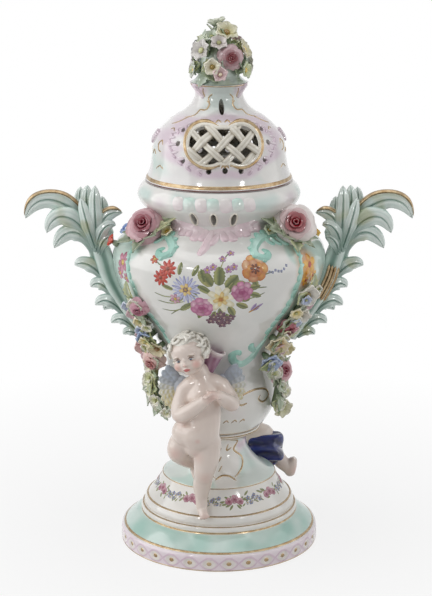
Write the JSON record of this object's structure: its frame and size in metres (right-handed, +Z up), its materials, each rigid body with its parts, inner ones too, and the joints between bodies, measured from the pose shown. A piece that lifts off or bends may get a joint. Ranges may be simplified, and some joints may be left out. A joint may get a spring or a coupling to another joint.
{
  "type": "potpourri vase",
  "caption": "Covered porcelain potpourri vase with a pierced lattice lid and flower knop, leaf-scroll handles, applied flowers, and winged putti on a stepped round foot.",
  "frame": {"origin": "middle of the foot ring, on the table", "axes": "+Z up along the vase's axis, the decorated front looks along -Y, the handles stand along X"},
  "size_m": [0.2904, 0.1611, 0.3995],
  "materials": {
    "porcelain": "glossy",
    "celadon": "glossy",
    "rose_pink": "glossy",
    "leaf_green": "glossy",
    "flowers": "glossy",
    "flesh": "glossy",
    "wing": "glossy",
    "mauve": "glossy",
    "cobalt": "glossy",
    "steel": "satin",
    "leather": "matte"
  },
  "bodies": {
    "vase": {"foot": "porcelain", "vessel": "porcelain", "fixing_bolt": "steel", "bolt_washer": "steel", "bolt_pad": "leather", "nut_pad": "leather", "nut_washer": "steel", "fixing_nut": "steel", "handle_left": "celadon", "handle_right": "celadon", "rose_left": "rose_pink", "rose_left_leaves": "leaf_green", "rose_right": "rose_pink", "rose_right_leaves": "leaf_green", "garland_left": "flowers", "garland_right": "flowers", "putto_torso": "flesh", "putto_head": "flesh", "putto_arm_left": "flesh", "putto_arm_right": "flesh", "putto_leg_left": "flesh", "putto_leg_right": "flesh", "putto_wing_left": "wing", "putto_wing_right": "wing", "putto_quiver": "mauve", "rear_torso": "flesh", "rear_head": "flesh", "rear_arm_left": "flesh", "rear_arm_right": "flesh", "rear_leg_left": "flesh", "rear_leg_right": "flesh", "rear_drape": "cobalt", "rear_wing_left": "wing", "rear_wing_right": "wing"},
    "lid": {"lid": "porcelain", "knop_mound": "celadon", "knop_rose": "rose_pink", "knop_blossoms": "flowers", "knop_leaves": "leaf_green"}
  },
  "joints": [
    {"name": "lid_lift", "type": "slide", "parent": "vase", "child": "lid", "axis": [0, 0, 1], "range_m": [0, 0.12]}
  ]
}
